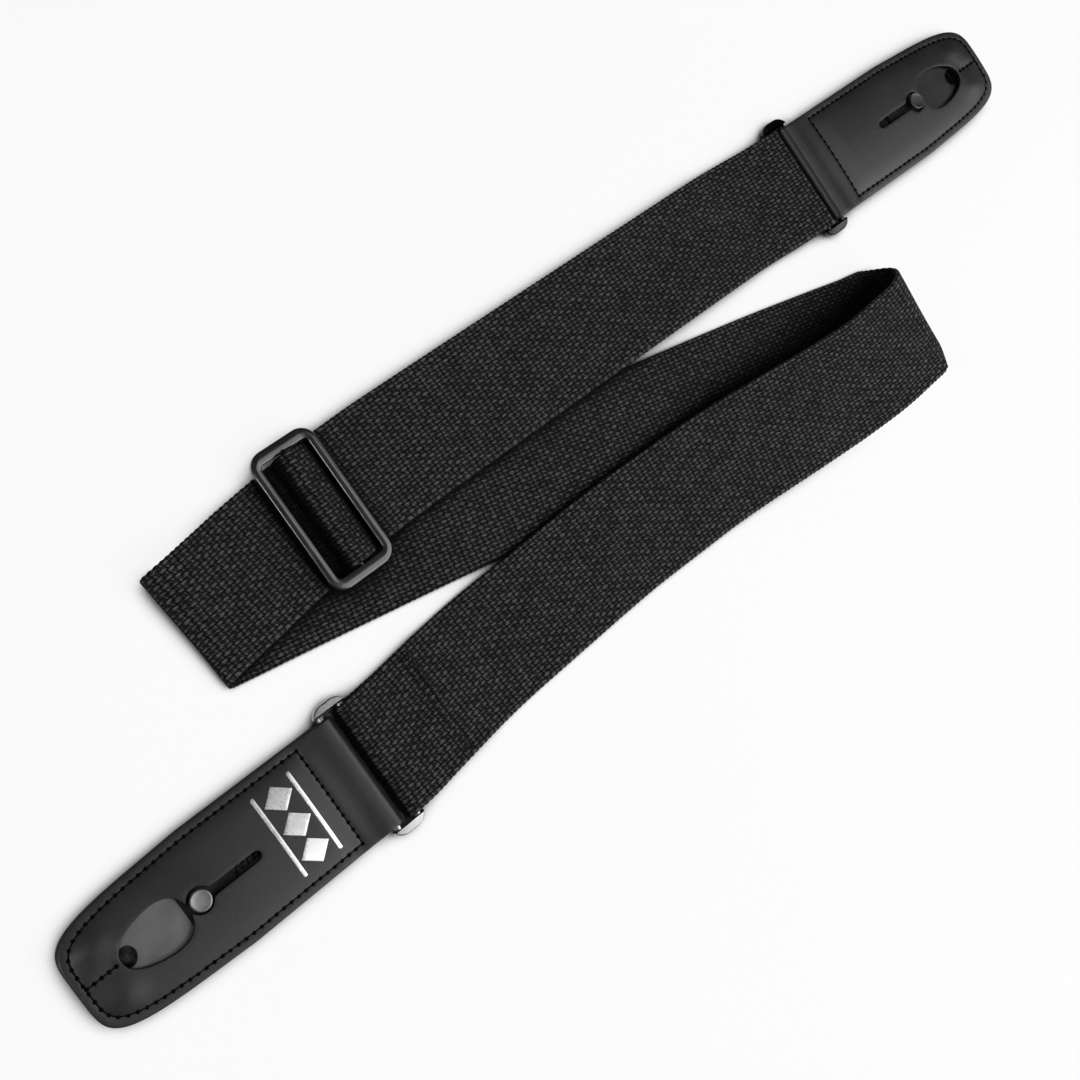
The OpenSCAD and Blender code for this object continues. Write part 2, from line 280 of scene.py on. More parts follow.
def cotton_weave():
    """Plain weave of heavy yarn. It reads the strap's own coordinates in millimetres."""
    m = Nodes("cotton_weave")
    place = m.new("Attribute", attribute_name="strap", out=1)
    wander = m.noise(place, 0.16, 2.0, out=1)
    shift = m.vector("MULTIPLY", m.vector("SUBTRACT", wander, (0.5, 0.5, 0.5)), (1.6, 1.1, 0))
    shaken = m.vector("ADD", place, shift)
    split = m.tree.nodes.new("ShaderNodeSeparateXYZ")
    m.put(split.inputs[0], shaken)
    u = m.math("DIVIDE", split.outputs[0], WEAVE_ALONG)
    v = m.math("DIVIDE", split.outputs[1], WEAVE_ACROSS)
    wave_u = m.math("SINE", m.math("MULTIPLY", u, math.pi))
    wave_v = m.math("SINE", m.math("MULTIPLY", v, math.pi))

    def yarn_height(own, other, over, low, strands):
        """A row of yarns. own is the wave across one yarn, other the wave along it."""
        rises = m.math("MULTIPLY", m.math("MULTIPLY", other, m.math("SIGN", own)), over)
        body = m.math("POWER", m.math("ABSOLUTE", own), 0.55)
        ply = m.math("MULTIPLY_ADD", m.math("ABSOLUTE", m.math("SINE", strands)), 0.55, 0.55)
        level = m.math("MULTIPLY_ADD", rises, (1 - low) / 2, (1 + low) / 2)
        return m.math("MULTIPLY", m.math("MULTIPLY", body, ply), level)

    # each yarn is two strands that lie on a slant
    warp_slant = m.math("ADD", v, m.math("MULTIPLY", u, 0.35))
    weft_slant = m.math("ADD", u, m.math("MULTIPLY", v, 0.25))
    warp = yarn_height(wave_v, wave_u, 1.0, 0.16, m.math("MULTIPLY", warp_slant, 2 * math.pi))
    weft = yarn_height(wave_u, wave_v, -1.0, 0.10, m.math("MULTIPLY", weft_slant, 2 * math.pi))
    height = m.math("MAXIMUM", warp, m.math("MULTIPLY", weft, 0.78))
    fibres = m.noise(m.vector("MULTIPLY", shaken, (1.7, 3.2, 1.0)), 1.3, 3.0, 0.75)
    cell = m.new("CombineXYZ", m.math("FLOOR", u), m.math("FLOOR", v), 0.0)
    chance = m.new("TexWhiteNoise", cell, out=0, noise_dimensions="3D")
    uneven = m.math("MULTIPLY", m.spread(chance, 0, 1, 0.80, 1.08),
                    m.spread(fibres, 0.3, 0.7, 0.70, 1.22))
    level = m.math("MULTIPLY", height, uneven)
    # colour by the yarn's height over its own dark tone: painted shade near black in the gaps and painted
    # light on the greyer yarn tops; and a few specks of lint
    soft = m.noise(place, 0.035, 3.0)
    shade = m.math("MULTIPLY", level, m.spread(soft, 0.3, 0.7, 0.97, 1.03))
    yarn = m.colours(shade, (0.20, 0.0010), (0.34, 0.0055), (0.58, 0.040), (0.88, 0.185))
    lint = m.spread(m.noise(place, 1.9, 1.0, 0.4), 0.745, 0.785, 0.0, 1.0)
    flecked = m.new("MixRGB", lint, yarn, (0.20, 0.19, 0.175, 1))
    # painted shade: where other surfaces close in within 40 mm, as inside the right fold's loop and round
    # the slide, the colour goes to near black
    base = m.new("MixRGB", m.openness(0.040, 0.64, 0.93), (0.0008, 0.0008, 0.0008, 1), flecked)
    m.set(Base_Color=base, Roughness=m.spread(level, 0.2, 0.8, 0.95, 0.70),
          Normal=m.bump(level, 1.0, 0.7 * MM))
    m.shader.inputs["Specular IOR Level"].default_value = 0.14
    return m.material


def leather():
    m = Nodes("black_leather")
    where = m.new("TexCoord", out=3)
    mottle = m.noise(where, 45.0, 4.0, 0.55)
    grain = m.noise(where, 2600.0, 3.0, 0.6)
    pores = m.new("TexVoronoi", where, out=0)
    pores.node.inputs["Scale"].default_value = 1500.0
    creases = m.noise(m.vector("MULTIPLY", where, (1.0, 2.2, 1.0)), 260.0, 5.0, 0.6)
    base = m.colours(mottle, (0.3, (0.011, 0.011, 0.011)), (0.7, (0.017, 0.017, 0.0165)))
    fine = m.math("ADD", m.math("MULTIPLY", grain, 0.6), m.math("MULTIPLY", pores, 0.5))
    relief = m.bump(fine, 0.22, 0.06 * MM, m.bump(creases, 0.18, 0.35 * MM))
    rough = m.math("ADD", m.spread(mottle, 0.3, 0.7, 0.37, 0.45), m.spread(grain, 0.3, 0.7, -0.05, 0.05))
    m.set(Base_Color=base, Roughness=rough, Normal=relief)
    m.shader.inputs["Specular IOR Level"].default_value = 0.5
    return m.material


def black_edge_and_shade():
    """The stiff inner layer, seen as the painted black edge. It is also laid as painted shade on the lock
    plate round and behind the button.
    """
    m = Nodes("painted_edge_and_shade")
    where = m.new("TexCoord", out=3)
    layers = m.noise(m.vector("MULTIPLY", where, (1.0, 1.0, 6.0)), 300.0, 3.0, 0.6)
    base = m.colours(layers, (0.3, 0.004), (0.7, 0.009))
    m.set(Base_Color=base, Roughness=m.spread(layers, 0.3, 0.7, 0.55, 0.75),
          Normal=m.bump(layers, 0.35, 0.15 * MM))
    m.shader.inputs["Specular IOR Level"].default_value = 0.25
    return m.material


def thread(name, tone, gloss):
    m = Nodes(name)
    where = m.new("TexCoord", out=3)
    twist = m.new("TexWave", where, out=1, wave_type="BANDS", bands_direction="DIAGONAL")
    twist.node.inputs["Scale"].default_value = 900.0
    twist.node.inputs["Distortion"].default_value = 1.5
    base = m.colours(twist, (0.2, tone * 0.5), (0.9, tone * 1.6))
    m.set(Base_Color=base, Roughness=m.spread(twist, 0.2, 0.9, 0.85, 0.7),
          Normal=m.bump(twist, 0.5, 0.08 * MM))
    m.shader.inputs["Specular IOR Level"].default_value = gloss
    return m.material


def metal(name, tone, rough_low, rough_high, grain_scale, grain_depth, stretch=(1, 1, 1), coat=0):
    """Metal with a fine grain. stretch makes the grain brushed along one axis."""
    m = Nodes(name)
    where = m.new("TexCoord", out=3)
    grain = m.noise(m.vector("MULTIPLY", where, stretch), grain_scale, 3.0, 0.6)
    cloud = m.noise(where, 120.0, 3.0, 0.5)
    base = m.colours(cloud, (0.3, tone * 0.85), (0.7, tone * 1.15))
    rough = m.math("ADD", m.spread(grain, 0.3, 0.7, rough_low, rough_high),
                   m.spread(cloud, 0.3, 0.7, -0.02, 0.03))
    m.set(Base_Color=base, Roughness=rough, Normal=m.bump(grain, grain_depth, 0.05 * MM))
    m.shader.inputs["Metallic"].default_value = 1.0
    if coat:
        m.shader.inputs["Coat Weight"].default_value = coat
        m.shader.inputs["Coat Roughness"].default_value = 0.10
    return m.material


def silver_foil():
    m = Nodes("silver_foil")
    where = m.new("TexCoord", out=3)
    grain = m.noise(where, 1800.0, 3.0, 0.6)
    cloud = m.noise(where, 90.0, 3.0, 0.5)
    base = m.colours(cloud, (0.3, 0.62), (0.7, 0.86))
    m.set(Base_Color=base, Roughness=m.spread(grain, 0.3, 0.7, 0.24, 0.42),
          Normal=m.bump(grain, 0.3, 0.05 * MM))
    m.shader.inputs["Metallic"].default_value = 0.75
    return m.material


COTTON = cotton_weave()
LEATHER = leather()
EDGE_PAINT_AND_SHADE = black_edge_and_shade()
SEAM_THREAD = thread("seam_thread", 0.0015, 0.05)
WEB_THREAD = thread("web_thread", 0.008, 0.25)
SLIDE_METAL = metal("black_enamel", 0.07, 0.28, 0.38, 2500.0, 0.25, coat=0.6)
# painted reflection: both rings are the same black nickel; ring 1's copy is light grey to stand in for
# the bright light its ends reflect
RING_METAL = {1: metal("ring_nickel_painted_light", 0.42, 0.34, 0.46, 2200.0, 0.3),
              2: metal("black_nickel", 0.03, 0.12, 0.22, 2200.0, 0.2)}
# painted light: both lock plates are the same metal, end 1's copy lighter and end 2's darker as each is
# lit
PLATE_METAL = {n: metal(name, tone, 0.42, 0.55, 1500.0, 0.35, (1, 6, 1))
               for n, name, tone in ((1, "plate_metal_painted_light", 0.155), (2, "plate_metal_painted_shade", 0.045))}
# painted light: both buttons are the same brushed metal, end 1's copy lighter and end 2's darker as each
# is lit
BUTTON_METAL = {n: metal(name, tone, 0.30, 0.46, 1400.0, 0.5, (6, 1, 1))
                for n, name, tone in ((1, "button_metal_painted_light", 0.24), (2, "button_metal_painted_shade", 0.08))}
# painted shade: the spring gets a near-black tone so that it stays dark down in the slot
SPRING_STEEL = metal("spring_steel", 0.03, 0.40, 0.55, 3000.0, 0.2)
FOIL = silver_foil()


# ------------------------------------------------------------ webbing route
# A station is (x, y, z, heading, tilt, pitch), in millimetres and degrees, as in the design.
FRONT_KEYS = [
    (-120, -41, Z_MID, 3, 0, 0), (-108, -40, 1.6, 3, 0.5, 0), (-94, -39, 1.4, 3, 1, 0),
    (-70, -38, 2.1, 3, 2.5, 0), (-25, -36.3, 2.7, 1, 3, 0), (5, -36.6, 3.2, -2, 4, 0),
    (39, -37.5, 5, -3, 6, 0), (84, -41, 9.4, -4, 10, 0), (113, -43, 12.6, -2, 12.5, 0),
    (137, -43.5, 15.2, 1, 13.5, 0), (155, -42.5, 16, 3, 14, 0)]
MIDDLE_KEYS = [
    (155, -28, Z_LOW, -12, 0, -180), (120, -21.2, Z_LOW, -10.5, 0, -180),
    (-20, 4.5, Z_LOW, -10.3, 0, -180), (-138, 26, Z_LOW, -10, 0, -180),
    (-176, 32.6, Z_LOW, -7, 0, -180)]
ADJUSTER_KEYS = [
    (-176, 38, 7.6, 7.5, 6.5, -360), (-162, 40, 6.4, 7.5, 3, -360),
    (-148, 42, Z_TOP, 7, 0, -360), (-122, 44.9, Z_TOP, 5, 0, -360),
    (-96, 46.6, Z_TOP, 2, 0, -360), (-60, 47, Z_TOP, 0, 0, -360),
    (90, 47, Z_TOP, 0, 0, -360), (122, 46.6, Z_MID, 0, 0, -360),
    (140, 45.6, Z_MID + 0.9, 0, 0, -360)]
RETURN_KEYS = [
    (140, 45.6, Z_LOW, 0, 0, -540), (122, 46.6, Z_LOW, 0, 0, -540),
    (90, 47, Z_MID, 0, 0, -540), (-60, 47, Z_MID, 0, 0, -540),
    (-96, 46.6, Z_MID, 2, 0, -540), (-119, 45.2, Z_MID, 5, 0, -540)]
TURN = [3.0 * k for k in range(61)]    # half a turn in small steps
RIGHT_FOLD = 176.5                     # where the bends reach furthest
LEFT_FOLD = -190.4
FOLD_ROUND = 9.0                       # radius of the right fold's near corner
FOLD_SLANT = 10.4                      # how far its far corner is set back


def glide(keys, steps=12):
    """Catmull-Rom line through the keys."""
    k = np.array([keys[0], *keys, keys[-1]], float)
    line = []
    for a, b, c, d in zip(k, k[1:], k[2:], k[3:]):
        for u in np.arange(steps) / steps:
            line.append(0.5 * (2 * b + (c - a) * u + (2 * a - 5 * b + 4 * c - d) * u * u
                               + (3 * b - a - 3 * c + d) * u ** 3))
    return [*line, k[-1]]


def right_bend():
    radius = 9.5
    return [(RIGHT_FOLD - radius * (1 - sin_d(f)), mix(-42, -29.8, f / 180),
             mix(16, Z_LOW, (1 - cos_d(f)) / 2), mix(3, -12.5, f / 180), 7 * (1 + cos_d(f)), -f)
            for f in TURN]


def left_bend():
    radius = 8.4
    return [(LEFT_FOLD + radius * (1 - sin_d(f)), mix(33.6, 37.2, f / 180),
             mix(Z_LOW, 8, (1 - cos_d(f)) / 2), mix(-4, 7.5, f / 180), 3.5 * (1 - cos_d(f)),
             -180 - f) for f in TURN]


def anchor_turn():
    turn = [(-WEB_BAR_X - LOOP_MID * sin_d(f), -RING.y, RING.z + LOOP_MID * cos_d(f), 0, 0, f)
            for f in reversed(TURN)]
    return [(-118, -41, Z_LOW, 3, 0, 180), (-140, -43.6, Z_LOW, 3, 0, 180), *turn,
            (-149, -44.6, Z_MID + 1.6, 2, 0, 0), (-140, -43.6, Z_MID, 3, 0, 0)]


def ring_turn():
    """The turn round the ring's bar. It is pulled towards the leather, nearly touching it."""
    return [(WEB_BAR_X + 1.5 * LOOP_MID * sin_d(f), RING.y, RING.z + LOOP_MID * cos_d(f),
             0, 0, -360 - f) for f in TURN]


def resample(stations, step):
    """Stations at even steps, closer together in bends, with the distance along the strap."""
    s = np.array(stations, float)
    travel = np.linalg.norm(np.diff(s[:, :3], axis=0), axis=1)
    bend = np.radians(np.abs(np.diff(s[:, 5])))
    keep = np.r_[True, travel + bend > 1e-6]
    s, travel, bend = s[keep], travel[keep[1:]], bend[keep[1:]]
    pace = np.r_[0, np.cumsum(travel + bend * WEB_T / 2)]
    even = np.linspace(0, pace[-1], int(pace[-1] / step) + 1)
    out = np.stack([np.interp(even, pace, s[:, k]) for k in range(6)], 1)
    along = np.interp(even, pace, np.r_[0, np.cumsum(travel)])
    return out, along


def relaxed(stations, along, reach):
    """Stations with small kinks averaged away, apart from the tight turns round a bar."""
    out = stations.copy()
    free = np.abs(np.gradient(stations[:, 5], along)) < 3.0
    for i in np.nonzero(free)[0]:
        near = (np.abs(along - along[i]) < reach)
        weight = near * (1 - np.abs(along - along[i]) / reach)
        out[i] = (stations * weight[:, None]).sum(0) / weight.sum()
    out[0], out[-1] = stations[0], stations[-1]
    return out


def strap_axes(s):
    """For each station: place, direction across and direction out of the face."""
    heading, tilt, pitch = (np.radians(s[:, k])[:, None] for k in (3, 4, 5))
    zero = np.zeros_like(heading)
    e1 = np.hstack([np.cos(heading), np.sin(heading), zero])
    e2 = np.hstack([-np.sin(heading), np.cos(heading), zero])
    n = np.array([[0, 0, 1]]) * np.cos(pitch) - e1 * np.sin(pitch)
    across = e2 * np.cos(tilt) + n * np.sin(tilt)
    out = n * np.cos(tilt) - e2 * np.sin(tilt)
    return s[:, :3], across, out


def web_section(width, thick, columns=20, corner=7):
    """Round-edged section: (across, out, distance round it from the middle of the face)."""
    r = thick / 2
    flat = width / 2 - r
    face = [(a, r) for a in np.linspace(-flat, flat, columns + 1)]
    right = [(flat + r * sin_d(f), r * cos_d(f)) for f in np.linspace(0, 180, corner + 1)[1:-1]]
    line = face + right
    line += [(-a, -b) for a, b in line]
    p = np.array(line)
    gaps = np.linalg.norm(np.roll(p, -1, 0) - p, axis=1)
    around = np.r_[0, np.cumsum(gaps)] - flat
    return p, around


def ripple(along, across):
    """Slight unevenness of the webbing's face."""
    return (0.06 * np.sin(along / 5.9 + 1.3) * np.cos(across / 14 + 0.4)
            + 0.05 * np.sin(along / 3.7 + across / 9) + 0.03 * np.sin(along / 1.9 + 2.1 + across / 5))


def fold_shape(s, along, a):
    """How the right fold draws in, across the strap and back from the fold.

    Its near corner is round and the fold is a little slanted. a is the place across the strap.
    """
    front_half = s[:, 5] > -190            # up to the start of the left bend
    reach = np.where(front_half, s[:, 0] + 0.85 * s[:, 2], -1000)
    furthest = np.argmax(reach)            # the bulge, up and out from the fold
    ahead = along - along[furthest]
    u = np.where(ahead < 0, np.clip(1 - (reach[furthest] - reach) / FOLD_ROUND, 0, 1),
                 1 - smooth_step(ahead, 8, 30))[:, None]
    v = np.clip((-a - (WEB_W / 2 - 2 * FOLD_ROUND)) / (2 * FOLD_ROUND), 0, 1)
    near = front_half * (np.abs(s[:, 0] - RIGHT_FOLD) < 60)
    pull = near[:, None] * FOLD_ROUND * v * v * (1 - np.sqrt(1 - u * u))
    share = front_half * smooth_step(s[:, 0], RIGHT_FOLD - 110, RIGHT_FOLD)
    return pull, FOLD_SLANT * ((a + pull) / WEB_W + 0.5) * share[:, None]


def band(name, stations, start=0.0, width=WEB_W, thick=WEB_T, wavy=1.0, reach=5.0):
    """A length of webbing along its stations. It carries its own coordinates for the weave.

    start is where the weave begins, wavy how uneven the faces are, and reach how far the route's
    kinks are eased.
    """
    s, along = resample(stations, 0.66)
    s = relaxed(s, along, reach)
    place, across, out = strap_axes(s)
    section, around = web_section(width, thick)
    a, b = section[:, 0][None, :], section[:, 1][None, :]
    along = along + start
    edge = smooth_step(np.abs(a), width / 2 - 1.6, width / 2)
    scallop = 0.16 * np.cos(2 * math.pi * along[:, None] / WEAVE_ALONG + 1.2 * b) * edge * np.sign(a)
    lump = wavy * ripple(along[:, None], a)
    pull, back = fold_shape(s, along, a)
    points = (place[:, None, :] + across[:, None, :] * (a + scallop + pull)[..., None]
              + out[:, None, :] * (b + lump)[..., None])
    points[..., 0] -= back
    points[..., 2] = np.maximum(points[..., 2], 0.02)
    rings, n = points.shape[:2]
    flat, faces = skin(points)
    piece = add_mesh(name, flat, faces, COTTON)
    mesh = piece.data
    values = np.zeros((len(mesh.loops), 3))
    at = 0
    for i in range(rings - 1):
        here, ahead = along[i], along[i + 1]
        for j in range(n):
            values[at:at + 4] = ((here, around[j], 0), (here, around[j + 1], 0),
                                 (ahead, around[j + 1], 0), (ahead, around[j], 0))
            at += 4
    values[at:at + n, :2] = [(along[0], around[j]) for j in range(n - 1, -1, -1)]
    values[at + n:at + 2 * n, :2] = [(along[-1], around[j]) for j in range(n)]
    layer = mesh.attributes.new("strap", "FLOAT_VECTOR", "CORNER")
    layer.data.foreach_set("vector", values.ravel())
    return piece, along


def add_strap():
    route = [*anchor_turn(), *glide(FRONT_KEYS), *right_bend(), *glide(MIDDLE_KEYS),
             *left_bend(), *glide(ADJUSTER_KEYS), *ring_turn(), RETURN_KEYS[0]]
    strap, along = band("strap_webbing", route)
    finish_piece(strap, "webbing", "webbing", "webbing_anchor_turn", "webbing_front_run",
                 "webbing_right_bend", "webbing_middle_run", "webbing_left_bend",
                 "webbing_adjuster_run", "webbing_ring_turn")
    length = along[-1]
    tail, tail_along = band("strap_return", glide(RETURN_KEYS), start=length)
    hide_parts("webbing_return_run")
    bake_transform(tail)


# -------------------------------------------------------------------- slide
CROSSBAR_R = 1.2
CROSSBAR_Z = SLIDE.z - 2 + 2.75        # the frame is 4 high
WINDOW = (22.0, 52.0)
BIGHT_R = 3.65                         # middle radius of the bight's round top
BIGHT_START, LOOP_START = 400.0, 380.0 # where their weave begins


def rounded_rectangle(length_x, length_y, radius, corner=10, side=6):
    """Points round a rectangle with rounded corners, evenly matched for any size."""
    points = []
    hx, hy = length_x / 2 - radius, length_y / 2 - radius
    centres = [(hx, hy, 0), (-hx, hy, 90), (-hx, -hy, 180), (hx, -hy, 270)]
    for k, (cx, cy, turn) in enumerate(centres):
        arc = [(cx + radius * cos_d(turn + f), cy + radius * sin_d(turn + f))
               for f in np.linspace(0, 90, corner + 1)]
        nx, ny, next_turn = centres[(k + 1) % 4]
        goal = (nx + radius * cos_d(next_turn), ny + radius * sin_d(next_turn))
        points += arc
        points += [(mix(arc[-1][0], goal[0], u), mix(arc[-1][1], goal[1], u))
                   for u in np.arange(1, side) / side]
    return np.array(points)


def frame_section(height, bevel_top, bevel_low, width, crest):
    """Section of the frame's bar from its inner edge (0) to its outer edge (1).

    Both edges are rounded and the top is a low ridge.
    """
    low, top = bevel_low / width, bevel_top / width
    half = [(low * (1 - sin_d(f)), bevel_low * (1 - cos_d(f))) for f in np.linspace(0, 90, 5)]
    side = height - crest
    half += [(top * (1 - cos_d(f)), side - bevel_top * (1 - sin_d(f)))
             for f in np.linspace(0, 82, 7)]
    return half + [(0.47, height), (0.53, height)] + [(1 - e, z) for e, z in reversed(half)]


def add_slide():
    width, length = size("slide_frame").x, size("slide_frame").y
    height = size("slide_frame").z
    outer = rounded_rectangle(width, length, 7.0)
    inner = rounded_rectangle(*WINDOW, 1.8)
    section = frame_section(height, 0.7, 0.5, (width - WINDOW[0]) / 2, 0.24)
    base_z = SLIDE.z - height / 2
    rings = []
    for o, i in zip(outer, inner):
        rings.append([(SLIDE.x + mix(i[0], o[0], e), SLIDE.y + mix(i[1], o[1], e), base_z + z)
                      for e, z in section])
    body = add_mesh("slide_body", *skin(rings, loop=True), SLIDE_METAL)
    finish_piece(body, "slide", "slide_metal", "slide_frame")
    ends = SLIDE.y - WINDOW[1] / 2 - 1, SLIDE.y + WINDOW[1] / 2 + 1
    bar = round_bar(SLIDE.x, CROSSBAR_Z, CROSSBAR_R, np.linspace(*ends, 12))
    crossbar = add_mesh("slide_crossbar", *bar, SLIDE_METAL)
    finish_piece(crossbar, "slide", "slide_metal")


def add_bight(start):
    """The webbing that rises through the slide, over its middle bar and down again."""
    steep, gentle = 72, 35             # it rises steeply and leaves on a gentle slope
    stations = [(SLIDE.x - BIGHT_R * sin_d(f), SLIDE.y, CROSSBAR_Z + BIGHT_R * cos_d(f), 0, 0, f)
                for f in np.linspace(steep, -gentle, 40)]
    first, last = np.array(stations[0]), np.array(stations[-1])
    rise, drop = first[2] - 6.9, 7.8
    left = first - (rise / math.tan(math.radians(steep)), 0, rise, 0, 0, 0)
    right = last + (drop, 0, -drop * math.tan(math.radians(gentle)), 0, 0, 0)
    line = [*[tuple(mix(left, first, u)) for u in np.arange(8) / 8], *stations,
            *[tuple(mix(last, right, u)) for u in np.arange(1, 9) / 8]]
    bight, along = band("slide_web_bight", line, start=start, thick=1.8, wavy=1.6, reach=2.5)
    finish_piece(bight, "slide", "webbing", "slide_bight")


def add_sewn_loop(start):
    radius = CROSSBAR_R + 0.05 + 0.7
    turn = [(SLIDE.x - radius * sin_d(f), SLIDE.y, CROSSBAR_Z + radius * cos_d(f), 0, 0, f)
            for f in np.linspace(178, -178, 90)]
    tail = [(SLIDE.x + 5.2, SLIDE.y, CROSSBAR_Z - radius, 0, 0, 180)]
    loop, along = band("slide_web_loop", tail + turn, start=start, width=WEB_W - 0.6, thick=1.3,
                       wavy=0, reach=0.4)
    finish_piece(loop, "slide", "webbing", "slide_sewn_loop")


# ------------------------------------------------------------------ stitches
def stitch_thread(points, radius=0.3, sides=6):
    """One stitch of thread along a few points."""
    p = np.asarray(points, float)
    ahead = np.gradient(p, axis=0)
    ahead /= np.linalg.norm(ahead, axis=1)[:, None]
    side = np.cross(ahead, (0, 0, 1.0))
    side /= np.linalg.norm(side, axis=1)[:, None]
    up = np.cross(side, ahead)
    rings = []
    for k, centre in enumerate(p):
        r = radius * (0.8 if k in (0, len(p) - 1) else 1.0)
        rings.append([centre + r * (side[k] * cos_d(f) + up[k] * sin_d(f))
                      for f in np.arange(sides) * 360 / sides])
    return skin(rings)


def bead(centre, radius, height, sides=10):
    """A small flattened dome, as the sunken knot of thread in a needle hole."""
    rings = []
    for level in (-1.0, 0.0, 0.55, 0.88, 0.985):
        r = radius * (0.9 if level < 0 else math.sqrt(1 - level * level))
        rings.append([(centre[0] + r * cos_d(f), centre[1] + r * sin_d(f), centre[2] + height * level)
                      for f in np.arange(sides) * 360 / sides])
    return skin(rings)


def add_anchor_seam():
    """Two rows across the strap, sewn through the anchor turn's plies."""
    parts = []
    for row_x in (-126.0, -129.0):
        for k in range(-6, 7):
            y = -42 + 3.6 * k
            top = Z_MID + WEB_T / 2
            line = [(row_x - 0.06 * dy, y + dy, top + dz)
                    for dy, dz in ((-1.35, -0.25), (-1.0, 0.05), (-0.4, 0.2), (0.4, 0.2), (1.0, 0.05),
                                   (1.35, -0.25))]
            parts.append(stitch_thread(line, 0.36))
    seam = add_mesh("anchor_seam", *joined(parts), WEB_THREAD)
    finish_piece(seam, "webbing", "thread", "anchor_stitches")


def add_loop_seam():
    low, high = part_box("slide_loop_stitches")
    x, z = (low.x + high.x) / 2 / MM, low.z / MM
    parts = []
    for k in range(-6, 7):
        y = SLIDE.y + 3.6 * k
        parts.append(stitch_thread([(x, y + dy, z + dz) for dy, dz in
                                    ((-1.1, -0.1), (-0.6, 0.1), (0.6, 0.1), (1.1, -0.1))], 0.22))
    seam = add_mesh("loop_seam", *joined(parts), WEB_THREAD)
    finish_piece(seam, "slide", "thread", "slide_loop_stitches")


# ------------------------------------------------------------- leather ends
# Each end is made with its hinge bar at the origin and its tip towards +X.
END_L = 124.8
END_HW = 24.6
TIP_HW = 21.8
TAPER_X = 66.0
TIP_POWER = 5
LEATHER_T = 2.0
INNER_Z = LOOP_IN                      # half the space between the leathers
TOP_Z = INNER_Z + LEATHER_T
ROLL_R = INNER_Z + LEATHER_T / 2       # middle radius of the roll
ROLL_Q = ROLL_R * math.pi / 2          # a quarter turn of it, laid flat
BUTTON_X = 73.8
EGG_L = 28.4
EGG_HW = 9.2
EGG_X = BUTTON_X + 5 + EGG_L / 2
POCKET_R = 5.1
SLOT_R = 1.85
SLOT_END = 48.6
SEAM_INSET = 3.2
SEAM_X = 14.6
STITCH = 3.4


def to_end(n, points):
    """Points of an end in the frame: end 2 as made, end 1 turned half round."""
    p = np.asarray(points, float) + (HINGE_X, 0, 0)
    p[:, 1] += RING.y
    p[:, 2] += RING.z
    if n == 1:
        p[:, :2] *= -1
    return p


def side_points(inset, x_start):
    """One side of the outline, from the ring to the tip."""
    reach = END_L - TAPER_X - inset
    line = [(x_start, END_HW - inset), (TAPER_X, END_HW + 0.2 - inset)]
    for f in np.arange(85, -0.1, -5):
        u, v = cos_d(f) ** (2 / TIP_POWER), sin_d(f) ** (2 / TIP_POWER) if f > 0.01 else 0.0
        line.append((TAPER_X + reach * u, (mix(END_HW + 0.2, TIP_HW, u) - inset) * v))
    return line


def spaced(line, gap, closed=False):
    """The line again with points about gap apart."""
    p = np.asarray(line, float)
    if closed:
        p = np.vstack([p, p[:1]])
    run = np.r_[0, np.cumsum(np.linalg.norm(np.diff(p, axis=0), axis=1))]
    count = max(2, int(round(run[-1] / gap)))
    even = np.linspace(0, run[-1], count + 1)
    out = np.stack([np.interp(even, run, p[:, k]) for k in range(p.shape[1])], 1)
    return out[:-1] if closed else out


def softened(loop, times=3):
    """A closed line with its sharp corners eased."""
    p = loop.copy()
    for _ in range(times):
        p = 0.5 * p + 0.25 * (np.roll(p, 1, 0) + np.roll(p, -1, 0))
    return p


def both_sides(half):
    """A closed line from its half at +y, which starts and ends on the middle line."""
    return half + [(x, -y) for x, y in reversed(half[1:-1])]


def egg_side():
    line = []
    for f in range(180, -1, -6):
        c, s = cos_d(f), max(sin_d(f), 0)
        u, v = math.copysign(abs(c) ** 0.86, c), s ** 0.86
        line.append((EGG_X + EGG_L / 2 * u, EGG_HW * (1 - 0.22 * u) * v))
    return line


def lock_opening():
    """Slot, thumb button's pocket and egg-shaped opening as one closed line."""
    neck = 1.5
    slot = [(SLOT_END + SLOT_R * cos_d(f), SLOT_R * sin_d(f)) for f in range(180, 89, -15)]
    start = 180 - math.degrees(math.asin(SLOT_R / POCKET_R))
    end = math.degrees(math.asin(neck / POCKET_R))
    pocket = [(BUTTON_X + POCKET_R * cos_d(f), POCKET_R * sin_d(f))
              for f in np.linspace(start, end, 18)]
    egg = [p for p in egg_side() if p[1] > neck or p[0] > EGG_X]
    return softened(spaced(both_sides(slot + pocket + egg), 0.7, closed=True), 3)


def egg_opening():
    return softened(spaced(both_sides(egg_side()), 0.9, closed=True), 2)


def cover_outline():
    """The whole cover laid flat: front panel at +q, roll in the middle, back panel at -q."""
    tip = side_points(0, 0)
    front = [(x + ROLL_Q, y) for x, y in spaced(tip, 1.3)]
    roll = [(q, END_HW) for q in np.arange(-ROLL_Q + 0.5, ROLL_Q - 0.4, 0.5)]
    back = [(-q, y) for q, y in reversed(front)]
    return np.array(both_sides(back + roll + front))


def turning(loop):
    """Above zero where a closed line runs anticlockwise."""
    return np.sum(loop[:, 0] * np.roll(loop[:, 1], -1) - np.roll(loop[:, 0], -1) * loop[:, 1])


def moved_in(loop, distance, inwards):
    """A closed line moved sideways. inwards is 1 for an outline and -1 for a hole's edge."""
    ahead = np.roll(loop, -1, 0) - np.roll(loop, 1, 0)
    ahead /= np.linalg.norm(ahead, axis=1)[:, None]
    left = np.stack([-ahead[:, 1], ahead[:, 0]], 1) * math.copysign(1, turning(loop))
    return loop + left * distance * inwards


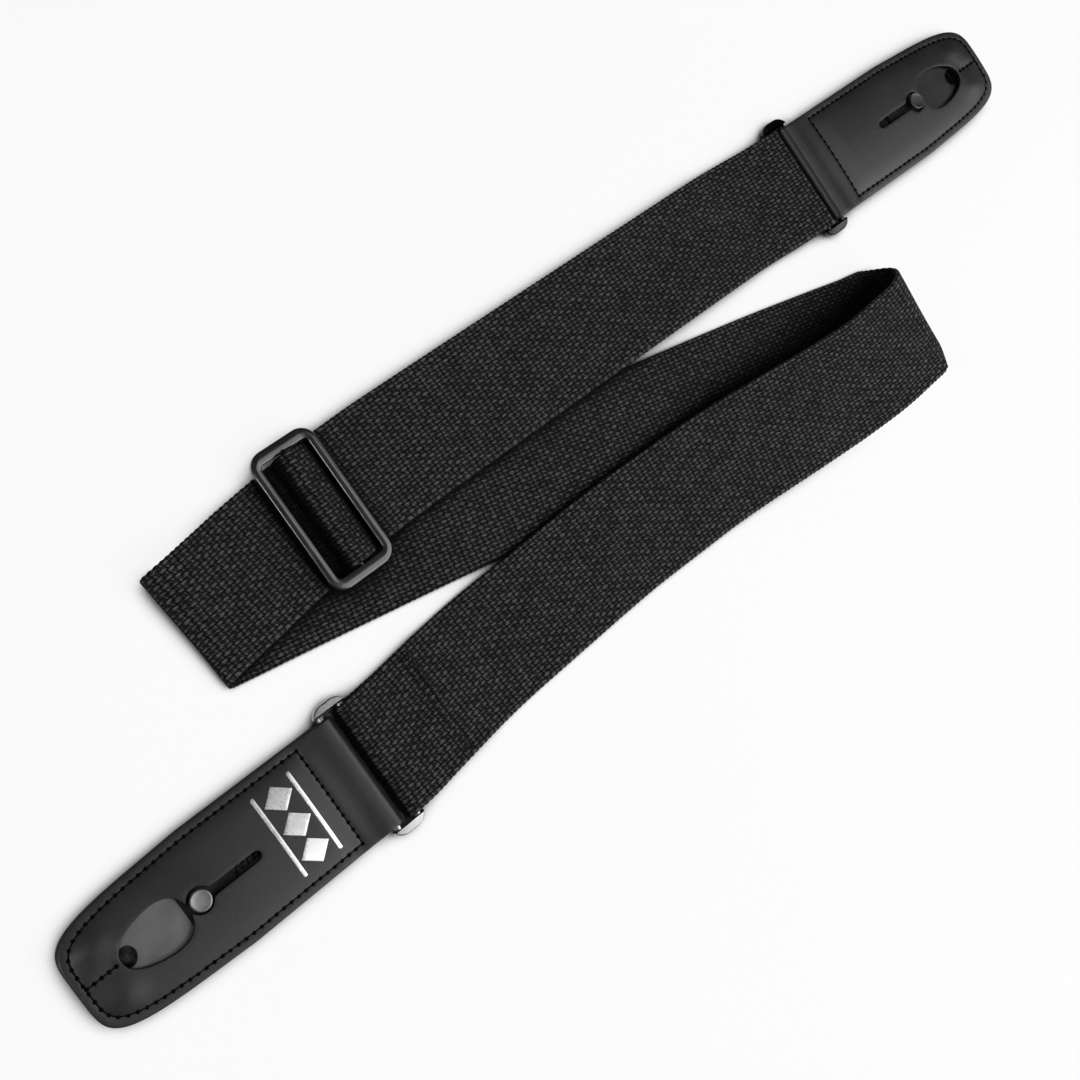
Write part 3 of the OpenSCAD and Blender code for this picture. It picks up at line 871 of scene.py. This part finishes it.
def inside(loop, points):
    """Which points lie within a closed line."""
    x, y = points[:, 0][:, None], points[:, 1][:, None]
    x0, y0 = loop[:, 0][None], loop[:, 1][None]
    x1, y1 = np.roll(loop[:, 0], -1)[None], np.roll(loop[:, 1], -1)[None]
    crosses = ((y0 > y) != (y1 > y)) & (x < (x1 - x0) * (y - y0) / (y1 - y0 + 1e-12) + x0)
    return crosses.sum(1) % 2 == 1


def nearest(points, others):
    """Distance from each point to the nearest of the others."""
    out = np.empty(len(points))
    for k in range(0, len(points), 400):
        gap = points[k:k + 400, None, :] - others[None]
        out[k:k + 400] = np.sqrt((gap ** 2).sum(2).min(1))
    return out


def sheet_mesh(outline, holes, fillets, thick, inner_points, lift):
    """A flat sheet with rounded edges, as points (q, y, h) and faces.

    fillets gives the edge radius of the outline and of each hole. lift(q, y) is added to
    the face's height, and fades to nothing at the back. The last list tells which faces
    are on a cut edge.
    """
    loops = [outline, *holes]
    ways = [1] + [-1] * len(holes)
    rims = [moved_in(loop, r, way) for loop, r, way in zip(loops, fillets, ways)]
    fixed = np.vstack(rims)
    free = inner_points[inside(rims[0], inner_points)]
    for rim in rims[1:]:
        free = free[~inside(rim, free)]
    free = free[nearest(free, fixed) > 0.45]
    flat = np.vstack([fixed, free])
    edges, start = [], 0
    for rim in rims:
        n = len(rim)
        edges += [(start + k, start + (k + 1) % n) for k in range(n)]
        start += n
    found = geometry.delaunay_2d_cdt([Vector(p) for p in flat], edges, [], 0, 1e-6)
    spots = np.array([tuple(v) for v in found[0]])
    triangles = np.array([f for f in found[2]])
    centre = spots[triangles].mean(1)
    keep = inside(rims[0], centre)
    for rim in rims[1:]:
        keep &= ~inside(rim, centre)
    triangles = triangles[keep]
    a, b, c = (spots[triangles[:, k]] for k in range(3))
    turn = (b[:, 0] - a[:, 0]) * (c[:, 1] - a[:, 1]) - (b[:, 1] - a[:, 1]) * (c[:, 0] - a[:, 0])
    triangles[turn < 0] = triangles[turn < 0][:, ::-1]
    index_of = {}
    for k, originals in enumerate(found[3]):
        for o in originals:
            index_of[o] = k
    n = len(spots)
    half = thick / 2
    points = [np.c_[spots, np.full(n, half)], np.c_[spots, np.full(n, -half)]]
    faces = [tuple(t) for t in triangles] + [tuple(t[::-1] + n) for t in triangles]
    on_edge = [False] * len(faces)
    total, start = 2 * n, 0
    for loop, r, way in zip(loops, fillets, ways):
        count = len(loop)
        top = [index_of[start + i] for i in range(count)]
        rows = [top]
        angles = [22.5, 45, 67.5, 90]
        places = [(r * (1 - sin_d(f)), half - r * (1 - cos_d(f))) for f in angles]
        places += [(d, -h) for d, h in reversed(places)]
        for d, h in places:
            ring = moved_in(loop, d, way)
            points.append(np.c_[ring, np.full(count, h)])
            rows.append(list(range(total, total + count)))
            total += count
        rows.append([i + n for i in top])
        flip = (turning(loop) > 0) != (way > 0)
        for step, (low, high) in enumerate(zip(rows, rows[1:])):
            for i in range(count):
                j = (i + 1) % count
                quad = (low[i], high[i], high[j], low[j])
                faces.append(quad[::-1] if flip else quad)
                on_edge.append(2 <= step <= 6)
        start += count
    points = np.vstack(points)
    rise = np.clip((points[:, 2] + half) / thick, 0, 1)
    points[:, 2] += rise * lift(points[:, 0], points[:, 1])
    return points, faces, on_edge


SEAM_PATH = np.array(spaced(side_points(SEAM_INSET, SEAM_X), 0.8))
EDGE_PATH = np.array(spaced(side_points(0, 0), 1.0))


def front_height(x, y):
    """Height of the front panel's face over its flat design, below zero where it is pressed in."""
    x, y = np.broadcast_arrays(np.asarray(x, float), np.abs(np.asarray(y, float)))
    flat = np.c_[x.ravel(), y.ravel()]
    to_edge = nearest(flat, EDGE_PATH).reshape(x.shape)
    to_seam = nearest(flat, SEAM_PATH).reshape(x.shape)
    past_bar = smooth_step(x, 2.0, 9.0)
    crown = -1.45 * (y / END_HW) ** 2 * smooth_step(x, 4, 24)
    border = -0.30 * (1 - smooth_step(to_edge, 3.0, 9.0)) * smooth_step(x, 10, 24)
    valley = -0.85 * past_bar * (1 - smooth_step(x, 15.0, 24.0))
    groove = -0.28 * np.exp(-(to_seam / 0.55) ** 2) * smooth_step(x, SEAM_X - 0.6, SEAM_X)
    across = -0.28 * np.exp(-((x - SEAM_X) / 0.55) ** 2) * (y < END_HW - SEAM_INSET)
    egg_tip = EGG_X + EGG_L / 2
    pinch = (-0.42 * np.exp(-(y / 2.0) ** 2) * smooth_step(x, egg_tip, egg_tip + 4)
             * (1 - smooth_step(x, END_L - 9, END_L - 4)))
    pillow = 0.8 * np.exp(-((x - 111.5) / 6.0) ** 2 - ((y - 10.0) / 5.0) ** 2)
    return crown + border + valley + np.minimum(groove, across) + pinch + pillow


def cover_lift(q, y):
    return np.where(q > 0, front_height(q - ROLL_Q, y), 0.0)


def folded(points):
    """The flat cover rolled round the ring's bar."""
    q, y, h = points.T
    bend = np.clip(q / ROLL_R, -math.pi / 2, math.pi / 2)
    past = np.abs(q) - ROLL_Q
    x = np.where(past > 0, past, -(ROLL_R + h) * np.cos(bend))
    z = np.where(past > 0, np.sign(q) * (ROLL_R + h), (ROLL_R + h) * np.sin(bend))
    return np.c_[x, y, z]


def cover_points():
    """Free points of the flat cover: a loose grid, rows along the seams, close rows in the roll."""
    loose = [(q, y) for k, q in enumerate(np.arange(-ROLL_Q - END_L, ROLL_Q + END_L, 2.0))
             for y in np.arange(-24 + (k % 2), 24.5, 2.0) if abs(q) > ROLL_Q + 0.4]
    roll = [(q, y) for q in np.arange(-ROLL_Q - 0.25, ROLL_Q + 0.3, 0.5)
            for y in np.arange(-23.4, 23.5, 1.8)]
    seam = []
    for inset in (SEAM_INSET - 0.6, SEAM_INSET, SEAM_INSET + 0.6):
        for x, y in spaced(side_points(inset, SEAM_X), 0.9):
            seam += [(x + ROLL_Q, y), (x + ROLL_Q, -y)]
    cross = [(SEAM_X + dx + ROLL_Q, y) for dx in (-0.6, 0, 0.6) for y in np.arange(-21, 21.1, 0.9)]
    centre = [(x + ROLL_Q, dy) for dy in (-0.7, 0, 0.7)
              for x in np.arange(EGG_X + EGG_L / 2 + 1.2, END_L - SEAM_INSET, 0.9)]
    rows = np.array(seam + cross + centre)
    loose = np.array(loose)
    loose = loose[nearest(loose, rows) > 0.9]
    both = np.vstack([rows, loose, np.array(roll)])
    _, first = np.unique(np.round(both, 3), axis=0, return_index=True)
    return both[np.sort(first)]


def add_cover(n):
    lock = lock_opening() + (ROLL_Q, 0)
    back = egg_opening() * (-1, 1) - (ROLL_Q, 0)
    points, faces, on_edge = sheet_mesh(cover_outline(), [lock, back], [0.75, 0.32, 0.3], LEATHER_T,
                                        cover_points(), cover_lift)
    cover = add_mesh(f"end_{n}_cover", to_end(n, folded(points)), faces, LEATHER)
    paint(cover, on_edge, EDGE_PAINT_AND_SHADE)
    finish_piece(cover, f"end_{n}", "leather", f"end_{n}_leather")


def seam_holes():
    """Places of the needle holes, as lists of (x, y) for each line of the seam."""
    side = np.array(side_points(SEAM_INSET, SEAM_X))
    outline = np.vstack([side, side[-2::-1] * (1, -1)])
    run = spaced(outline, STITCH)
    across = spaced([(SEAM_X, END_HW - SEAM_INSET), (SEAM_X, SEAM_INSET - END_HW)], STITCH)
    start = EGG_X + EGG_L / 2 + 2
    middle_line = spaced([(start, 0), (END_L - SEAM_INSET - 0.4, 0)], STITCH)
    return [run, across, middle_line]


def on_face(face, points, faces):
    """Points and faces made for the front, turned over for the back and kept flush with it."""
    if face > 0:
        return points, faces
    points = points * (1, 1, -1)
    points[:, 2] = np.maximum(points[:, 2], -TOP_Z + 0.01)
    return points, [f[::-1] for f in faces]


def add_seam(n):
    """Thread from hole to hole on both faces, and the dark knots sunk in the holes."""
    parts = []
    for face in (1, -1):
        for line in seam_holes():
            height = front_height(line[:, 0], line[:, 1]) if face > 0 else np.zeros(len(line))
            for k in range(len(line)):
                x, y = line[k]
                z = TOP_Z + height[k]
                parts.append(on_face(face, *bead((x, y, z + 0.15), 0.86, 0.20)))
                if k + 1 == len(line):
                    continue
                nx, ny = line[k + 1]
                nz = TOP_Z + height[k + 1]
                points = [(mix(x, nx, u), mix(y, ny, u), mix(z, nz, u) + d) for u, d in
                          ((0.1, -0.05), (0.25, 0.14), (0.5, 0.2), (0.75, 0.14), (0.9, -0.05))]
                parts.append(on_face(face, *stitch_thread(points, 0.24)))
    points, faces = joined(parts)
    seam = add_mesh(f"end_{n}_seam", to_end(n, points), faces, SEAM_THREAD)
    finish_piece(seam, f"end_{n}", "thread", f"end_{n}_stitching")


PLATE_T = 2.4
PLATE_HW = 11.4
PLATE_BACK = 58.0
PLATE_TIP = EGG_X + EGG_L / 2 + 3
BITE_R = 3.9
BITE_X = EGG_X + EGG_L / 2 - 2.5


def no_lift(q, y):
    return np.zeros(len(q))


def plate_step(q, y):
    """The plate is thinner behind the button, where it runs under the slot."""
    return -1.5 * (1 - smooth_step(q, BUTTON_X - 8, BUTTON_X - 5))


def add_plate(n):
    corner = 1.2
    bite = [(BITE_X + BITE_R * cos_d(f), BITE_R * sin_d(f)) for f in range(180, 89, -9)]
    half = [*bite, (PLATE_TIP - 0.3, BITE_R), (PLATE_TIP, BITE_R + 0.3),
            (PLATE_TIP, PLATE_HW - corner), (PLATE_TIP - corner, PLATE_HW),
            (PLATE_BACK + corner, PLATE_HW), (PLATE_BACK, PLATE_HW - corner), (PLATE_BACK, 0)]
    loop = softened(spaced(both_sides(half), 0.7, closed=True), 1)
    grid = np.array([(x, y) for x in np.arange(PLATE_BACK, PLATE_TIP, 1.5)
                     for y in np.arange(-10.5, 11, 3.0)])
    points, faces, _ = sheet_mesh(loop, [], [0.3], PLATE_T, grid, plate_step)
    plate = add_mesh(f"end_{n}_plate", to_end(n, points), faces, PLATE_METAL[n])
    centres = [points[list(face)].mean(0) for face in faces]
    # painted shade: the plate's faces round and behind the button, seen down the slot and the pocket,
    # take the black edge colour
    paint(plate, [x < BUTTON_X + 6.4 and abs(y) < 7 for x, y, _ in centres], EDGE_PAINT_AND_SHADE)
    finish_piece(plate, f"lock_{n}", "lock_plate", f"end_{n}_lock_plate")


def add_button(n):
    """Turned rivet with a slightly dished head and a rounded rim."""
    radius = size(f"end_{n}_thumb_button").x / 2
    head, foot = TOP_Z + 0.25, -PLATE_T / 2
    rim = ((0.5, 0), (0.12, 0.12), (0, 0.4), (0, 0.95), (0.08, 1.2), (0.25, 1.38), (0.5, 1.46),
           (0.75, 1.42), (1.0, 1.36))
    profile = [(0, foot - 0.3), (1.9, foot - 0.3), (2.3, foot - 0.12), (2.35, foot),
               (1.5, foot + 0.05), (1.5, head), *[(radius - r, head + z) for r, z in rim],
               (1.6, head + 1.33), (0.8, head + 1.32), (0, head + 1.32)]
    steps = 48
    points, faces, rings = [], [], []
    for r, z in profile:
        if r == 0:
            rings.append([len(points)] * steps)
            points.append((BUTTON_X, 0, z))
            continue
        rings.append(list(range(len(points), len(points) + steps)))
        points += [(BUTTON_X + r * cos_d(360 * k / steps), r * sin_d(360 * k / steps), z)
                   for k in range(steps)]
    for low, high in zip(rings, rings[1:]):
        for k in range(steps):
            j = (k + 1) % steps
            faces.append(list(dict.fromkeys([low[k], low[j], high[j], high[k]])))
    button = add_mesh(f"end_{n}_button", to_end(n, points), faces, BUTTON_METAL[n])
    finish_piece(button, f"lock_{n}", "button_metal", f"end_{n}_thumb_button")


SPRING_R = 1.15
WIRE_R = 0.25
SPRING_TURNS = 16
SPRING_FROM = 17.3
SPRING_TO = 57.7


def add_spring(n):
    steps, sides = SPRING_TURNS * 16, 8
    rings = []
    for i in range(steps + 1):
        turn = 360 * SPRING_TURNS * i / steps
        x = mix(SPRING_FROM + WIRE_R, SPRING_TO - WIRE_R, i / steps)
        ring = []
        for k in range(sides):
            a = 360 * k / sides
            r = SPRING_R + WIRE_R * cos_d(a)
            ring.append((x + WIRE_R * sin_d(a), r * cos_d(turn), r * sin_d(turn)))
        rings.append(ring)
    points, faces = skin(rings)
    spring = add_mesh(f"end_{n}_spring", to_end(n, points), faces, SPRING_STEEL)
    finish_piece(spring, f"end_{n}", "spring_steel", f"end_{n}_return_spring")
    anchor = to_end(n, [(SPRING_FROM, 0, 0)])[0] * MM
    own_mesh(spring)


def add_core(n):
    """The CAD layer between the leathers keeps its shape and gets the painted edge."""
    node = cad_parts[f"end_{n}_spacer"]
    for slot in node.material_slots:
        slot.material = EDGE_PAINT_AND_SHADE


RING_CORNER = 6.0


def end_plate(width, length, inner_y):
    """Outline of a ring's D-shaped end plate, drawn at +y."""
    cx, cy = width / 2 - RING_CORNER, length / 2 - RING_CORNER
    low = math.degrees(math.asin((inner_y - cy) / RING_CORNER))
    right = [(cx + RING_CORNER * cos_d(f), cy + RING_CORNER * sin_d(f)) for f in np.linspace(low, 90, 12)]
    left = [(-x, y) for x, y in reversed(right)]
    return spaced(right + left, 0.6, closed=True)


def add_ring(n):
    """Cast ring: two D-shaped end plates with rounded edges, and two round bars."""
    centre = middle(f"ring_{n}")
    length, width = size(f"ring_{n}").y, size(f"ring_{n}").x
    high = size(f"ring_{n}").z
    outline = softened(end_plate(width, length, WEB_W / 2 + 0.5), 2)
    parts = []
    for side in (-1, 1):
        rings = []
        for f in np.linspace(-90, 90, 17):
            line = moved_in(outline, 0.9 * (1 - cos_d(f)), 1)
            z = high / 2 * math.copysign(abs(sin_d(f)) ** 0.8, f)
            rings.append([(centre.x + x, centre.y + side * y, centre.z + z) for x, y in line])
        points, faces = skin(rings)
        parts.append((points, faces if side > 0 else [face[::-1] for face in faces]))
    for side in (-1, 1):
        ys = centre.y + np.linspace(-length / 2 + 1.6, length / 2 - 1.6, 16)
        parts.append(round_bar(centre.x + side * BAR_PITCH / 2, centre.z, BAR_R, ys))
    ring = add_mesh(f"ring_{n}_body", *joined(parts), RING_METAL[n])
    finish_piece(ring, f"ring_{n}", "ring_metal", f"ring_{n}")


# ------------------------------------------------------------------ ornament
def add_ornament():
    """A plain silver band of lozenges printed on end 1, a design of its own."""
    parts = []

    def patch(corners):
        """A thin printed shape that follows the leather."""
        line = spaced(corners, 1.2, closed=True)
        grid = np.array([(x, y) for x in np.arange(line[:, 0].min(), line[:, 0].max(), 1.5)
                         for y in np.arange(line[:, 1].min(), line[:, 1].max(), 1.5)])
        points, faces, _ = sheet_mesh(line, [], [0.04], 0.08, grid, no_lift)
        points[:, 2] += TOP_Z + 0.05 + front_height(points[:, 0], points[:, 1])
        parts.append((points, faces))

    low_x, high_x, half_y = 21.5, 39.5, 17.5
    centre_x = (low_x + high_x) / 2
    for x in (low_x, high_x - 1.6):
        patch([(x, -half_y), (x + 1.6, -half_y), (x + 1.6, half_y), (x, half_y)])
    pitch = 2 * half_y / 3
    for k in (-1, 0, 1):
        y = k * pitch
        rx, ry = 6.3, pitch / 2 - 0.5
        patch([(centre_x - rx, y), (centre_x, y - ry), (centre_x + rx, y), (centre_x, y + ry)])
    points, faces = joined(parts)
    mark = add_mesh("end_1_ornament", to_end(1, points), faces, FOIL)
    finish_piece(mark, "end_1", "ring_metal")


add_strap()
add_slide()
add_bight(BIGHT_START)
add_sewn_loop(LOOP_START)
add_anchor_seam()
add_loop_seam()
for end in (1, 2):
    add_ring(end)
    add_cover(end)
    add_core(end)
    add_seam(end)
    add_plate(end)
    add_button(end)
    add_spring(end)
add_ornament()


# ----------------------------------------------------------- floor and light
FLOOR_GLOW = 0.87


def add_floor():
    """White sweep that glows where it is open, so that it stays evenly pale; near and under other things
    its glow fades and its colour goes dark, as painted shadow.
    """
    m = Nodes("pale_floor")
    where = m.new("TexCoord", out=3)
    faint = m.noise(where, 3.0, 2.0)
    # painted shadow: within 10 mm of other surfaces the glow stops and the colour goes dark
    glow = m.openness(0.010, 0.42, 0.80)
    pale_and_painted_shadow = m.new("MixRGB", glow, (0.02, 0.02, 0.02, 1),
                  m.colours(faint, (0.3, 0.115), (0.7, 0.125)))
    m.set(Base_Color=pale_and_painted_shadow, Roughness=0.9)
    m.shader.inputs["Specular IOR Level"].default_value = 0.1
    m.shader.inputs["Emission Color"].default_value = (1, 1, 1, 1)
    m.set(Emission_Strength=m.math("MULTIPLY", glow, FLOOR_GLOW))
    span = 4000.0
    corners = [(-span, -span, 0), (span, -span, 0), (span, span, 0), (-span, span, 0)]
    floor = add_mesh("floor", corners, [(0, 1, 2, 3)], m.material)


def add_area(name, place, aim, width, height, power):
    data = bpy.data.lights.new(name, "AREA")
    data.shape = "RECTANGLE"
    data.size, data.size_y, data.energy = width, height, power
    lamp = bpy.data.objects.new(name, data)
    lamp.location = place
    lamp.rotation_euler = (Vector(aim) - Vector(place)).to_track_quat("-Z", "Y").to_euler()
    bpy.context.scene.collection.objects.link(lamp)


def add_light():
    """Two soft boxes high in front, and narrow strips low in front and behind, in a dark room."""
    world = bpy.data.worlds.new("studio")
    world.use_nodes = True
    world.node_tree.nodes["Background"].inputs["Color"].default_value = (1, 1, 1, 1)
    world.node_tree.nodes["Background"].inputs["Strength"].default_value = 0.05
    bpy.context.scene.world = world
    add_area("soft_box", (0.746, -0.828, 1.004), (0, 0, 0), 1.8, 0.75, 15)
    add_area("top_box", (0.436, -0.392, 1.381), (0, 0, 0), 1.4, 0.55, 5.5)
    add_area("strip", (0.35, -0.95, 0.55), (0, 0, 0), 0.5, 0.06, 1.0)
    add_area("back_strip", (-0.86, 0.10, 0.87), (0.17, 0.05, 0), 0.12, 0.9, 3.4)


add_floor()
add_light()
bpy.context.scene.view_settings.view_transform = "Standard"
